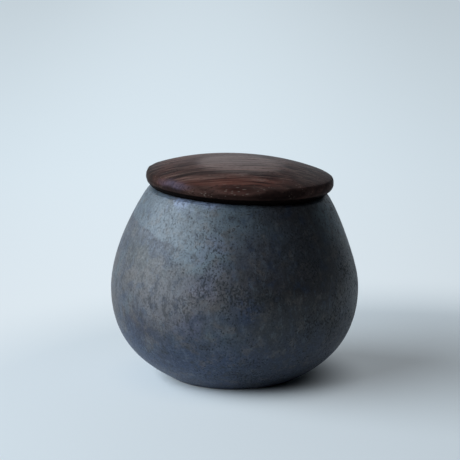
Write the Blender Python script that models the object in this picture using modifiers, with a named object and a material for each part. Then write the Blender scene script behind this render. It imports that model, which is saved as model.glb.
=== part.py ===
"""Lidded pot: a thrown and glazed stoneware jar with a turned hardwood lid.

The pot is a full, low-bellied form on a small trimmed foot. Its wall is one
thrown form from foot to lip, and the mouth is trimmed on a slight slant, so
the top of the wall leans over and the lid sits a few degrees out of level.
The lid is a domed disc with a plug let into its underside. A soft ring in a
groove of the plug centres the lid in the mouth.

Units are metres and +Z is up. The origin is the centre of the foot, on the
table. The lid, the plug and the ring stand on an empty at the centre of the
mouth, whose Z axis is the leaning axis that they lift and turn about.
"""

import math

import bpy
from mathutils import Matrix, Vector

# Outside of the pot
BELLY_RADIUS = 0.055
BELLY_HEIGHT = 0.0403
FOOT_RADIUS = 0.0280
MOUTH_HEIGHT = 0.0839
MOUTH_RADIUS = 0.0385
FOOT_ANGLE_DEG = 30.0
SHOULDER_ANGLE_DEG = 49.0
FOOT_PULL_SHARE = 0.33
BELLY_PULL_LOW_SHARE = 0.667
BELLY_PULL_HIGH_SHARE = 0.362
SHOULDER_PULL_SHARE = 0.072

# Lean of the mouth, down towards +X
MOUTH_LEAN_DEG = 2.7
MOUTH_SHIFT = 0.0017

# Wall, floor and foot of the pot
WALL_THICKNESS = 0.0050
FLOOR_THICKNESS = 0.0055
FOOT_RING_WIDTH = 0.0052
FOOT_RECESS_DEPTH = 0.0018
FOOT_EDGE_ROUND = 0.0007
FLOOR_FLAT_SHARE = 0.70
FLOOR_PULL_SHARE = 0.53
CHEST_PULL_SHARE = 0.47
THROAT_ANGLE_DEG = 52.0
THROAT_PULL_SHARE = 0.12

# Lip of the pot
LIP_WIDTH = 0.0056
LIP_ROUND_OUTSIDE = 0.0017
LIP_ROUND_INSIDE = 0.0014
BORE_HEIGHT = 0.0032
THROAT_ROUND = 0.0009

# Lid
LID_OVERHANG = 0.0029
LID_CREASE_INSET = 0.0007
LID_BAND_HEIGHT = 0.0044
LID_BAND_PULL_SHARE = 0.35
LID_BEVEL_HEIGHT = 0.0027
LID_BEVEL_INSET = 0.0030
LID_BEVEL_ROUND = 0.0013
LID_SEAT_ROUND = 0.0004
LID_DOME_RISE = 0.0065
LID_DOME_POWER = 2.4
LID_OFF_CENTRE = 0.0004

# Plug under the lid
PLUG_CLEARANCE = 0.0018
PLUG_DEPTH = 0.0090
PLUG_RECESS_DEPTH = 0.0020
PLUG_EDGE_ROUND = 0.0014
GROOVE_DEPTH = 0.0019
GROOVE_HEIGHT = 0.0044
GROOVE_DROP = 0.0010

# Ring seal
RING_BAND = 0.0012
RING_LIP_SPACING = 0.0019
RING_LIP_ROOT = 0.0011
RING_LIP_TIP = 0.0006
RING_LIP_RISE = 0.0005

# Fit between pieces that touch
SEAT_GAP = 0.0003

# Facets
ROUND_STEPS = 64
POT_WALL_POINTS = 10
LID_DOME_POINTS = 10
LID_BAND_POINTS = 4
CORNER_POINTS = 4
SHARP_ANGLE_DEG = 35.0

# Colours are linear; each row is colour, roughness and metallic value
FINISHES = {
    "iron_glazed_stoneware": ((0.050, 0.055, 0.066), 0.55, 0.0),
    "oiled_walnut": ((0.060, 0.030, 0.022), 0.50, 0.0),
    "oiled_walnut_underside": ((0.085, 0.045, 0.032), 0.60, 0.0),
    "clear_grey_silicone": ((0.420, 0.420, 0.400), 0.45, 0.0),
}

PLUG_RADIUS = MOUTH_RADIUS - LIP_WIDTH - PLUG_CLEARANCE


def clear_scene():
    """Remove the objects that the file opened with."""
    for item in list(bpy.data.objects):
        bpy.data.objects.remove(item, do_unlink=True)


def finish(name):
    """Material with one of the finishes above."""
    colour, roughness, metallic = FINISHES[name]
    material = bpy.data.materials.new(name)
    material.use_nodes = True
    shader = material.node_tree.nodes["Principled BSDF"]
    shader.inputs["Base Color"].default_value = (*colour, 1.0)
    shader.inputs["Roughness"].default_value = roughness
    shader.inputs["Metallic"].default_value = metallic
    return material


def bezier(start, start_pull, end_pull, end, count):
    """Points after the start of a cubic curve in the (radius, height) plane.

    start_pull and end_pull are the handles, as vectors from start and end.
    """
    first = start + start_pull
    last = end + end_pull
    points = []
    for step in range(1, count + 1):
        t = step / count
        s = 1 - t
        points.append(s**3 * start + 3 * s**2 * t * first + 3 * s * t**2 * last + t**3 * end)
    return points


def rounded(before, corner, after, setback):
    """Points of a round corner that starts and ends a setback from the corner."""
    start = corner + (before - corner).normalized() * setback
    end = corner + (after - corner).normalized() * setback
    pull = (corner - start) / 2
    return [start] + bezier(start, pull, (corner - end) / 2, end, CORNER_POINTS)


def turned(name, outline, closed=False):
    """Object made by turning an outline of (radius, height) points about Z.

    The outline runs down the outer side. A closed outline is a ring's section,
    and an open one starts and ends on the axis.
    """
    count = len(outline)
    edges = [(index, index + 1) for index in range(count - 1)]
    if closed:
        edges.append((count - 1, 0))
    profile_mesh = bpy.data.meshes.new(name + "_profile")
    profile_mesh.from_pydata([(point.x, 0, point.y) for point in outline], edges, [])
    profile = bpy.data.objects.new(name + "_profile", profile_mesh)
    bpy.context.scene.collection.objects.link(profile)
    screw = profile.modifiers.new("Turn", "SCREW")
    screw.axis = "Z"
    screw.angle = math.tau
    screw.steps = ROUND_STEPS
    screw.render_steps = ROUND_STEPS
    screw.use_merge_vertices = True
    screw.merge_threshold = SEAT_GAP / 100
    bpy.context.view_layer.update()
    solid = profile.evaluated_get(bpy.context.evaluated_depsgraph_get())
    mesh = bpy.data.meshes.new_from_object(solid)
    mesh.name = name
    bpy.data.objects.remove(profile, do_unlink=True)
    mesh.shade_smooth()
    mesh.set_sharp_from_angle(angle=math.radians(SHARP_ANGLE_DEG))
    return bpy.data.objects.new(name, mesh)


def slope(angle_deg):
    """Unit vector in the (radius, height) plane, leaning in from straight up."""
    angle = math.radians(angle_deg)
    return Vector((-math.sin(angle), math.cos(angle)))


def clamped(value):
    """The value, kept between nought and one."""
    return min(max(value, 0), 1)


def mouth_lean(part=1.0):
    """Placement of the mouth, or of a ring below it that leans a part as much."""
    turn = Matrix.Rotation(math.radians(MOUTH_LEAN_DEG) * part, 4, "Y")
    return Matrix.Translation((MOUTH_SHIFT * part, 0, MOUTH_HEIGHT)) @ turn


def pot_inside():
    """Outline of the inside, from the middle of the floor up to the throat."""
    floor = FOOT_RECESS_DEPTH + FLOOR_THICKNESS
    flat_radius = FOOT_RADIUS * FLOOR_FLAT_SHARE
    inner_radius = BELLY_RADIUS - WALL_THICKNESS
    bore_radius = MOUTH_RADIUS - LIP_WIDTH
    flat_edge = Vector((flat_radius, floor))
    widest = Vector((inner_radius, BELLY_HEIGHT))
    throat = Vector((bore_radius, MOUTH_HEIGHT - LIP_ROUND_INSIDE - BORE_HEIGHT))
    below_throat = throat - slope(THROAT_ANGLE_DEG) * THROAT_ROUND
    above_throat = throat + Vector((0, THROAT_ROUND))
    rise = BELLY_HEIGHT - floor
    chest = throat.y - BELLY_HEIGHT
    points = [Vector((0, floor)), flat_edge]
    points += bezier(
        flat_edge,
        Vector(((inner_radius - flat_radius) * FLOOR_PULL_SHARE, 0)),
        Vector((0, -rise * FLOOR_PULL_SHARE)),
        widest,
        POT_WALL_POINTS,
    )
    points += bezier(
        widest,
        Vector((0, chest * CHEST_PULL_SHARE)),
        -slope(THROAT_ANGLE_DEG) * chest * THROAT_PULL_SHARE,
        below_throat,
        POT_WALL_POINTS,
    )
    return points[:-1] + rounded(below_throat, throat, above_throat, THROAT_ROUND)


def pot_lip():
    """Outline over the lip, from the bore to the outside of the wall."""
    inner_corner = Vector((MOUTH_RADIUS - LIP_WIDTH, MOUTH_HEIGHT))
    outer_corner = Vector((MOUTH_RADIUS, MOUTH_HEIGHT))
    below_inner = inner_corner - Vector((0, LIP_ROUND_INSIDE))
    below_outer = outer_corner - slope(SHOULDER_ANGLE_DEG) * LIP_ROUND_OUTSIDE
    points = rounded(below_inner, inner_corner, outer_corner, LIP_ROUND_INSIDE)
    points += rounded(inner_corner, outer_corner, below_outer, LIP_ROUND_OUTSIDE)
    return points


def pot_outside():
    """Outline of the outside, from below the lip down to the foot's edge."""
    start = Vector((MOUTH_RADIUS, MOUTH_HEIGHT)) - slope(SHOULDER_ANGLE_DEG) * LIP_ROUND_OUTSIDE
    widest = Vector((BELLY_RADIUS, BELLY_HEIGHT))
    foot = Vector((FOOT_RADIUS, 0))
    foot_angle = math.radians(FOOT_ANGLE_DEG)
    foot_way = Vector((math.cos(foot_angle), math.sin(foot_angle)))
    foot_top = foot + foot_way * FOOT_EDGE_ROUND
    foot_inner = foot - Vector((FOOT_EDGE_ROUND, 0))
    chest = start.y - BELLY_HEIGHT
    points = bezier(
        start,
        -slope(SHOULDER_ANGLE_DEG) * chest * SHOULDER_PULL_SHARE,
        Vector((0, chest * BELLY_PULL_HIGH_SHARE)),
        widest,
        POT_WALL_POINTS,
    )
    points += bezier(
        widest,
        Vector((0, -BELLY_HEIGHT * BELLY_PULL_LOW_SHARE)),
        foot_way * (BELLY_RADIUS - FOOT_RADIUS) * FOOT_PULL_SHARE,
        foot_top,
        POT_WALL_POINTS,
    )
    return points[:-1] + rounded(foot_top, foot, foot_inner, FOOT_EDGE_ROUND)


def pot_underside():
    """Outline of the trimmed foot, from its inner edge to the middle."""
    recess_radius = FOOT_RADIUS - FOOT_RING_WIDTH
    ring_edge = Vector((recess_radius, 0))
    recess_edge = Vector((recess_radius - FOOT_RECESS_DEPTH, FOOT_RECESS_DEPTH))
    middle = Vector((0, FOOT_RECESS_DEPTH))
    return [ring_edge] + rounded(ring_edge, recess_edge, middle, FOOT_RECESS_DEPTH / 2) + [middle]


def lean_the_mouth(mesh):
    """Lean the top of the thrown wall, so that the lip lies in the slanted plane.

    Rings up to the belly stay level. Above it each ring leans and moves over
    more and more, and from the depth of the plug up to the lip they lean as
    one, so that the bore stays round about the leaning axis.
    """
    straight_from = MOUTH_HEIGHT - PLUG_DEPTH
    for vertex in mesh.vertices:
        way = clamped((vertex.co.z - BELLY_HEIGHT) / (straight_from - BELLY_HEIGHT))
        part = way * way * (3 - 2 * way)
        from_mouth = vertex.co - Vector((0, 0, MOUTH_HEIGHT))
        vertex.co = mouth_lean(part) @ from_mouth


def make_pot():
    """The thrown pot: foot, belly, leaning lip and the hollow inside."""
    outline = pot_inside() + pot_lip() + pot_outside() + pot_underside()
    pot = turned("pot_body", outline)
    lean_the_mouth(pot.data)
    pot.data.materials.append(finish("iron_glazed_stoneware"))
    return pot


def lid_edge():
    """Outline round the lid's edge, from the crease to the bevel's lower end.

    Heights are from the top of the lip.
    """
    radius = MOUTH_RADIUS + LID_OVERHANG
    bevel_top = Vector((radius, SEAT_GAP + LID_BEVEL_HEIGHT))
    bevel_end = Vector((radius - LID_BEVEL_INSET, SEAT_GAP))
    crease = Vector((radius - LID_CREASE_INSET, bevel_top.y + LID_BAND_HEIGHT))
    band_end = bevel_top + Vector((0, LID_BEVEL_ROUND))
    pull = LID_BAND_HEIGHT * LID_BAND_PULL_SHARE
    points = [crease]
    points += bezier(
        crease,
        Vector((LID_CREASE_INSET, -pull)),
        Vector((0, pull)),
        band_end,
        LID_BAND_POINTS,
    )
    points += rounded(band_end, bevel_top, bevel_end, LID_BEVEL_ROUND)[1:]
    points += rounded(bevel_top, bevel_end, Vector((0, SEAT_GAP)), LID_SEAT_ROUND)
    return points


def set_off_centre(mesh):
    """Set the lid's dome and band a little off the middle of its seat.

    The shift grows up the bevel, so that the seat and the recess stay round
    about the axis, as in a lid whose rim is shaped by hand after turning.
    """
    seat_radius = MOUTH_RADIUS - LIP_WIDTH
    for vertex in mesh.vertices:
        if vertex.co.xy.length > seat_radius or vertex.co.z > LID_BEVEL_HEIGHT:
            way = clamped((vertex.co.z - SEAT_GAP) / LID_BEVEL_HEIGHT)
            vertex.co.x += LID_OFF_CENTRE * way


def make_lid_cap():
    """The domed lid, with the recess that the plug is glued into."""
    edge = lid_edge()
    crease = edge[0]
    recess_radius = PLUG_RADIUS + SEAT_GAP
    recess_top = SEAT_GAP + PLUG_RECESS_DEPTH
    points = []
    for step in range(LID_DOME_POINTS):
        share = step / LID_DOME_POINTS
        height = LID_DOME_RISE * (1 - share**LID_DOME_POWER)
        points.append(Vector((crease.x * share, crease.y + height)))
    points += edge
    points.append(Vector((recess_radius, SEAT_GAP)))
    points.append(Vector((recess_radius, recess_top)))
    points.append(Vector((0, recess_top)))
    lid = turned("lid_cap", points)
    set_off_centre(lid.data)
    lid.data.materials.append(finish("oiled_walnut"))
    return lid


def groove_middle():
    """Height of the middle of the plug's groove, from the top of the lip."""
    return -(GROOVE_DROP + GROOVE_HEIGHT / 2)


def make_lid_plug():
    """The plug that hangs in the mouth, with a groove for the ring."""
    top = PLUG_RECESS_DEPTH
    bottom = -PLUG_DEPTH
    groove_radius = PLUG_RADIUS - GROOVE_DEPTH
    groove_top = groove_middle() + GROOVE_HEIGHT / 2
    groove_bottom = groove_middle() - GROOVE_HEIGHT / 2
    bottom_edge = Vector((PLUG_RADIUS, bottom))
    middle = Vector((0, bottom))
    points = [
        Vector((0, top)),
        Vector((PLUG_RADIUS, top)),
        Vector((PLUG_RADIUS, groove_top)),
        Vector((groove_radius, groove_top)),
        Vector((groove_radius, groove_bottom)),
        Vector((PLUG_RADIUS, groove_bottom)),
    ]
    points += rounded(points[-1], bottom_edge, middle, PLUG_EDGE_ROUND) + [middle]
    plug = turned("lid_plug", points)
    plug.data.materials.append(finish("oiled_walnut_underside"))
    return plug


def ring_lip(height, root_radius, tip_radius):
    """Outline of one thin lip of the ring, which slants up to the bore."""
    tip = height + RING_LIP_RISE
    return [
        Vector((root_radius, height + RING_LIP_ROOT / 2)),
        Vector((tip_radius - RING_LIP_TIP / 2, tip + RING_LIP_TIP / 2)),
        Vector((tip_radius, tip)),
        Vector((tip_radius - RING_LIP_TIP / 2, tip - RING_LIP_TIP / 2)),
        Vector((root_radius, height - RING_LIP_ROOT / 2)),
    ]


def make_seal_ring():
    """The soft ring: a band in the groove with two lips that meet the bore."""
    inner_radius = PLUG_RADIUS - GROOVE_DEPTH + SEAT_GAP
    band_radius = inner_radius + RING_BAND
    tip_radius = MOUTH_RADIUS - LIP_WIDTH - SEAT_GAP
    middle = groove_middle()
    top = middle + GROOVE_HEIGHT / 2 - SEAT_GAP
    bottom = middle - GROOVE_HEIGHT / 2 + SEAT_GAP
    points = [Vector((band_radius, top))]
    for side in (1, -1):
        points += ring_lip(middle + side * RING_LIP_SPACING / 2, band_radius, tip_radius)
    points += [
        Vector((band_radius, bottom)),
        Vector((inner_radius, bottom)),
        Vector((inner_radius, top)),
    ]
    ring = turned("seal_ring", points, closed=True)
    ring.data.materials.append(finish("clear_grey_silicone"))
    return ring


def main():
    """Build the pot, and the lid on the leaning axis of its mouth."""
    clear_scene()
    collection = bpy.data.collections.new("lidded_pot")
    bpy.context.scene.collection.children.link(collection)
    collection.objects.link(make_pot())
    mouth = bpy.data.objects.new("mouth_axis", None)
    mouth.matrix_world = mouth_lean()
    mouth.empty_display_size = MOUTH_RADIUS
    collection.objects.link(mouth)
    for piece in (make_lid_cap(), make_lid_plug(), make_seal_ring()):
        collection.objects.link(piece)
        piece.parent = mouth


main()
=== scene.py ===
"""The looks of a lidded pot: an iron-glazed stoneware jar with an oiled walnut lid.

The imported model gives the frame: where each piece is and what it moves with.
This script makes the finer surfaces on that frame, all in metres with +Z up.
Every piece is round about an axis, so one Geometry Nodes tree revolves its
outline and lays the maker's ridges and wear on it. The glaze, the walnut,
the bare clay and the silicone are node materials in Object coordinates.
"""

import logging
import math
from dataclasses import dataclass, field
from enum import Enum
from typing import Any, TypeAlias

import bpy
from mathutils import Matrix, Vector

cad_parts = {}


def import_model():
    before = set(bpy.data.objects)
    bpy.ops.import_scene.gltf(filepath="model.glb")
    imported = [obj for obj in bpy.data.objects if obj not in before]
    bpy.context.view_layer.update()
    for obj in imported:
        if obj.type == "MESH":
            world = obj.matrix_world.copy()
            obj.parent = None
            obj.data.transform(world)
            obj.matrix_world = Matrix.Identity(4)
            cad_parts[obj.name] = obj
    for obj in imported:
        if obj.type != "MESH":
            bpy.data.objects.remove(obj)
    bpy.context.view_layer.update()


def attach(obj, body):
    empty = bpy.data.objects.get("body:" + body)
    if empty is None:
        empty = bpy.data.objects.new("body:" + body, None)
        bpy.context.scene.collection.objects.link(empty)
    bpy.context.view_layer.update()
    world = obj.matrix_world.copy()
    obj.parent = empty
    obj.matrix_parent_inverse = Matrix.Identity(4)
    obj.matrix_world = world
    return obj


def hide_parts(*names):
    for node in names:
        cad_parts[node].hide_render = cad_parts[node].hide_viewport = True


LOG = logging.getLogger("lidded_pot")
MM = 0.001
PHOTO_PIXELS = 460
SMOOTH = {"interpolation_type": "SMOOTHSTEP"}
COLOURS = {"data_type": "RGBA"}
ABOUT_Z = {"rotation_type": "Z_AXIS"}
# Metres that set a pattern apart from one whose noise it would repeat
ASIDE = (0.31, 0.17, 0.05)

# What can feed a socket, and the patterns of a material by name
Source: TypeAlias = bpy.types.Node | bpy.types.NodeSocket
Patterns: TypeAlias = dict[str, Source] | bpy.types.NodeOutputs


class Body(Enum):
    """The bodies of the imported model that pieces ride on."""

    POT = "pot"
    SEAL = "seal"
    LID = "lid"


class Slot(Enum):
    """The record's material slots."""

    GLAZE = "glazed_stoneware"
    LID_WOOD = "oiled_walnut"
    PLUG_WOOD = "bare_walnut"
    RING = "silicone"


class Cut(Enum):
    """How a face of the lid was finished."""

    OILED = "oiled"
    BARE = "bare"


def linear(hex_colour: str) -> tuple[float, float, float, float]:
    """Linear colour of an sRGB hex value.

    Args:
        hex_colour: a colour such as "#3d4550".

    Returns:
        Red, green, blue and an alpha of 1.
    """
    parts = [int(hex_colour[place : place + 2], 16) / 255 for place in (1, 3, 5)]
    red, green, blue = ((c / 12.92) if c <= 0.04045 else ((c + 0.055) / 1.055) ** 2.4 for c in parts)
    return (red, green, blue, 1.0)


def feed(tree: bpy.types.NodeTree, node: bpy.types.Node, inputs: dict[int | str, Any]) -> None:
    """Link or set the inputs of a node.

    Args:
        tree: the tree that the node is in.
        node: the node.
        inputs: what goes into each socket, by index or name. A node gives its
            first output, a socket gives itself, and anything else is a value.
    """
    for place, value in inputs.items():
        socket = node.inputs[place]
        if isinstance(value, bpy.types.Node):
            tree.links.new(value.outputs[0], socket)
        elif isinstance(value, bpy.types.NodeSocket):
            tree.links.new(value, socket)
        else:
            socket.default_value = value


def add_node(
    tree: bpy.types.NodeTree,
    kind: str,
    settings: dict[str, Any] | None = None,
    inputs: dict[int | str, Any] | None = None,
) -> bpy.types.Node:
    """Add a node to a tree, set it up and link it.

    Args:
        tree: the tree that takes the node.
        kind: the node's type, such as "ShaderNodeMath".
        settings: values of the node's own properties.
        inputs: what goes into each socket, as feed takes it.

    Returns:
        The new node.
    """
    node = tree.nodes.new(kind)
    for name, value in (settings or {}).items():
        setattr(node, name, value)
    feed(tree, node, inputs or {})
    return node


def clamped(value: float) -> float:
    """The value, kept between nought and one."""
    return min(max(value, 0.0), 1.0)


@dataclass
class Outline:
    """Section of a turned piece in the (radius, height) plane.

    It runs down the outer side. Each point carries how strongly the maker's
    ridges and the wear press into it, which finish it takes, and its tinge:
    where glaze has run thin, or where shade is painted on the wood of the lid.
    """

    points: list[Vector] = field(default_factory=list)
    ridges: list[float] = field(default_factory=list)
    wear: list[float] = field(default_factory=list)
    second_finish: list[float] = field(default_factory=list)
    tinge: list[float] = field(default_factory=list)

    def add(
        self,
        points: list[Vector],
        ridge: float = 0.0,
        wear: float = 0.0,
        second_finish: float = 0.0,
        tinge: float = 0.0,
    ) -> None:
        """Add points that share the same marks.

        Args:
            points: the stretch to add, in (radius, height).
            ridge: share of the ridge depth that presses in here.
            wear: share of the wear depth that presses in here.
            second_finish: 1 where the second finish shows.
            tinge: 1 where glaze has run thin, or where shade is painted on the lid's wood.
        """
        self.points += points
        self.ridges += [ridge] * len(points)
        self.wear += [wear] * len(points)
        self.second_finish += [second_finish] * len(points)
        self.tinge += [tinge] * len(points)

    def inward(self, index: int) -> Vector:
        """Unit direction into the material at a point, as (radial, 0, up).

        Args:
            index: the point's place in the outline.

        Returns:
            The direction.
        """
        before = self.points[max(index - 1, 0)]
        after = self.points[min(index + 1, len(self.points) - 1)]
        along = (after - before).normalized()
        return Vector((along.y, 0.0, -along.x))

    def run(self) -> list[float]:
        """Distance along the outline at each point.

        Returns:
            The distances, from 0 at the first point.
        """
        lengths = [0.0]
        for before, after in zip(self.points, self.points[1:]):
            lengths.append(lengths[-1] + (after - before).length)
        return lengths

    def mesh(self, name: str, closed: bool) -> bpy.types.Mesh:
        """The outline as a string of points with its marks as attributes.

        Args:
            name: the mesh's name.
            closed: whether the last point meets the first, as in a ring.

        Returns:
            A mesh of points only, in the order of the outline.
        """
        order = list(range(len(self.points))) + ([0] if closed else [])
        mesh = bpy.data.meshes.new(name)
        mesh.from_pydata([(self.points[i].x, 0.0, self.points[i].y) for i in order], [], [])
        push = mesh.attributes.new("push", "FLOAT_VECTOR", "POINT")
        for place, index in enumerate(order):
            push.data[place].vector = self.inward(index)
        run = self.run()
        marks = {
            "run": run,
            "ridge": self.ridges,
            "wear": self.wear,
            "second_finish": self.second_finish,
            "tinge": self.tinge,
        }
        for mark, values in marks.items():
            attribute = mesh.attributes.new(mark, "FLOAT", "POINT")
            for place, index in enumerate(order):
                attribute.data[place].value = values[index]
        return mesh


def bezier(start: Vector, start_pull: Vector, end_pull: Vector, end: Vector, count: int) -> list[Vector]:
    """Points after the start of a cubic curve.

    Args:
        start: first point, which isn't returned.
        start_pull: handle at the start, from it.
        end_pull: handle at the end, from it.
        end: last point.
        count: how many points to return.

    Returns:
        The points up to and with the end.
    """
    first = start + start_pull
    last = end + end_pull
    points = []
    for step in range(1, count + 1):
        t = step / count
        s = 1 - t
        points.append(s**3 * start + 3 * s**2 * t * first + 3 * s * t**2 * last + t**3 * end)
    return points


def rounded(before: Vector, corner: Vector, after: Vector, setback: float, count: int = 8) -> list[Vector]:
    """Points of a round corner.

    Args:
        before: a point on the stretch that comes to the corner.
        corner: the sharp corner.
        after: a point on the stretch that leaves it.
        setback: how far from the corner the round starts and ends.
        count: how many steps the round has.

    Returns:
        The points from where the round starts to where it ends.
    """
    start = corner + (before - corner).normalized() * setback
    end = corner + (after - corner).normalized() * setback
    return [start] + bezier(start, (corner - start) / 2, (corner - end) / 2, end, count)


def straight(start: Vector, end: Vector, count: int) -> list[Vector]:
    """Points after the start of a straight stretch, up to and with its end."""
    return [start.lerp(end, step / count) for step in range(1, count + 1)]


def slope(angle_deg: float) -> Vector:
    """Unit vector in the (radius, height) plane, leaning in from straight up."""
    angle = math.radians(angle_deg)
    return Vector((-math.sin(angle), math.cos(angle)))


@dataclass(frozen=True)
class TurningMarks:
    """What the maker's hand leaves on a turned surface.

    The ridges are one spiral, as a finger or a gouge leaves it, and both they
    and the wear only press into the surface, so the piece keeps its size.
    A moulded piece has none.
    """

    ridge_spacing: float = 1.0 * MM
    ridge_depth: float = 0.0
    ridge_wander: float = 0.0
    wear_depth: float = 0.0
    wear_size: float = 10 * MM
    seed: int = 1


@dataclass(frozen=True)
class Lathe:
    """Geometry Nodes tree that turns an outline about Z."""

    tree_name: str = "turned_on_a_lathe"
    steps: int = 240
    merge_distance: float = 0.002 * MM
    sharp_angle_deg: float = 32.0
    seed_spacing: float = 7.31
    rubbed_from: float = 0.35
    rubbed_to: float = 0.7
    wear_detail: float = 2.0
    inputs: tuple[tuple[str, str], ...] = (
        ("Geometry", "Geometry"),
        ("Steps Around", "Int"),
        ("Ridge Spacing", "Float"),
        ("Ridge Depth", "Float"),
        ("Ridge Wander", "Float"),
        ("Wear Depth", "Float"),
        ("Wear Size", "Float"),
        ("Seed", "Int"),
        ("Merge Distance", "Float"),
        ("Finish", "Material"),
        ("Second Finish", "Material"),
    )
    outline_marks: tuple[tuple[str, str], ...] = (
        ("position", "FLOAT_VECTOR"),
        ("push", "FLOAT_VECTOR"),
        ("run", "FLOAT"),
        ("ridge", "FLOAT"),
        ("wear", "FLOAT"),
        ("second_finish", "FLOAT"),
        ("tinge", "FLOAT"),
    )

    def tree(self) -> bpy.types.NodeTree:
        """Build the tree: a grid is wrapped round the axis, row by row.

        Returns:
            The node group, with named inputs for its sizes and finishes.
        """
        tree = bpy.data.node_groups.new(self.tree_name, "GeometryNodeTree")
        for name, kind in self.inputs:
            tree.interface.new_socket(name, in_out="INPUT", socket_type="NodeSocket" + kind)
        tree.interface.new_socket("Geometry", in_out="OUTPUT", socket_type="NodeSocketGeometry")
        given = add_node(tree, "NodeGroupInput").outputs
        outline = given["Geometry"]
        steps = given["Steps Around"]

        rows = add_node(tree, "GeometryNodeAttributeDomainSize", {"component": "MESH"}, {0: outline})
        columns = add_node(tree, "ShaderNodeMath", {"operation": "ADD"}, {0: steps, 1: 1.0})
        sizes = {"Size X": 1.0, "Size Y": 1.0, "Vertices X": columns, "Vertices Y": rows}
        grid = add_node(tree, "GeometryNodeMeshGrid", None, sizes)
        index = add_node(tree, "GeometryNodeInputIndex")
        row = add_node(tree, "ShaderNodeMath", {"operation": "FLOORED_MODULO"}, {0: index, 1: rows})
        ratio = add_node(tree, "ShaderNodeMath", {"operation": "DIVIDE"}, {0: index, 1: rows})
        column = add_node(tree, "ShaderNodeMath", {"operation": "FLOOR"}, {0: ratio})
        turn = add_node(tree, "ShaderNodeMath", {"operation": "DIVIDE"}, {0: column, 1: steps})
        angle = add_node(tree, "ShaderNodeMath", {"operation": "MULTIPLY"}, {0: turn, 1: math.tau})

        marks = {}
        for mark, kind in self.outline_marks:
            named = add_node(tree, "GeometryNodeInputNamedAttribute", {"data_type": kind}, {"Name": mark})
            marks[mark] = add_node(
                tree,
                "GeometryNodeSampleIndex",
                {"data_type": kind, "domain": "POINT"},
                {"Geometry": outline, "Value": named, "Index": row},
            )
        depth = self.depth(tree, given, marks, turn, angle)
        pushing = {0: marks["push"], "Scale": depth}
        offset = add_node(tree, "ShaderNodeVectorMath", {"operation": "SCALE"}, pushing)
        pressing = {0: marks["position"], 1: offset}
        pressed = add_node(tree, "ShaderNodeVectorMath", {"operation": "ADD"}, pressing)
        wrapped = add_node(tree, "ShaderNodeVectorRotate", ABOUT_Z, {"Vector": pressed, "Angle": angle})

        shape = add_node(tree, "GeometryNodeSetPosition", None, {"Geometry": grid, "Position": wrapped})
        for mark in ("second_finish", "tinge"):
            shape = add_node(
                tree,
                "GeometryNodeStoreNamedAttribute",
                {"data_type": "FLOAT", "domain": "POINT"},
                {"Geometry": shape, "Name": mark, "Value": marks[mark]},
            )
        shape = add_node(tree, "GeometryNodeFlipFaces", None, {"Mesh": shape})
        merging = {"Geometry": shape, "Distance": given["Merge Distance"]}
        shape = add_node(tree, "GeometryNodeMergeByDistance", None, merging)
        shape = add_node(tree, "GeometryNodeSetShadeSmooth", None, {"Geometry": shape, "Shade Smooth": True})
        shape = add_node(tree, "GeometryNodeRealizeInstances", None, {"Geometry": shape})
        dressing = {"Geometry": shape, "Material": given["Finish"]}
        shape = add_node(tree, "GeometryNodeSetMaterial", None, dressing)
        stored = add_node(
            tree,
            "GeometryNodeInputNamedAttribute",
            {"data_type": "FLOAT"},
            {"Name": "second_finish"},
        )
        second = add_node(tree, "FunctionNodeCompare", {"operation": "GREATER_THAN"}, {0: stored, 1: 0.5})
        dressing = {"Geometry": shape, "Selection": second, "Material": given["Second Finish"]}
        shape = add_node(tree, "GeometryNodeSetMaterial", None, dressing)
        add_node(tree, "NodeGroupOutput", None, {"Geometry": shape})
        return tree

    def depth(
        self,
        tree: bpy.types.NodeTree,
        given: bpy.types.NodeOutputs,
        marks: dict[str, bpy.types.Node],
        turn: bpy.types.Node,
        angle: bpy.types.Node,
    ) -> bpy.types.Node:
        """How deep the ridges and the wear press in at each point.

        Args:
            tree: the node group.
            given: its named inputs.
            marks: the outline's marks at the point's row.
            turn: how far round the point is, as a share of a turn.
            angle: the same as an angle.

        Returns:
            The node that gives the depth.
        """
        turning = {"Vector": marks["position"], "Angle": angle}
        around = add_node(tree, "ShaderNodeVectorRotate", ABOUT_Z, turning)
        per_size = add_node(tree, "ShaderNodeMath", {"operation": "DIVIDE"}, {0: 1.0, 1: given["Wear Size"]})
        seeding = {0: given["Seed"], 1: self.seed_spacing}
        seed = add_node(tree, "ShaderNodeMath", {"operation": "MULTIPLY"}, seeding)
        drift = add_node(
            tree,
            "ShaderNodeTexNoise",
            {"noise_dimensions": "4D"},
            {"Vector": around, "W": seed, "Scale": per_size, "Detail": self.wear_detail},
        )

        # The spiral of ridges, whose phase drifts as the hand does
        spacing = {0: marks["run"], 1: given["Ridge Spacing"]}
        laps = add_node(tree, "ShaderNodeMath", {"operation": "DIVIDE"}, spacing)
        wound = add_node(tree, "ShaderNodeMath", {"operation": "ADD"}, {0: laps, 1: turn})
        wandering = {0: drift, 1: given["Ridge Wander"], 2: wound}
        phase = add_node(tree, "ShaderNodeMath", {"operation": "MULTIPLY_ADD"}, wandering)
        swing = add_node(tree, "ShaderNodeMath", {"operation": "MULTIPLY"}, {0: phase, 1: math.tau})
        wave = add_node(tree, "ShaderNodeMath", {"operation": "SINE"}, {0: swing})
        half = add_node(tree, "ShaderNodeMath", {"operation": "MULTIPLY_ADD"}, {0: wave, 1: 0.5, 2: 0.5})
        deep = add_node(tree, "ShaderNodeMath", {"operation": "MULTIPLY"}, {0: half, 1: given["Ridge Depth"]})
        ridge = add_node(tree, "ShaderNodeMath", {"operation": "MULTIPLY"}, {0: deep, 1: marks["ridge"]})

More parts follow.
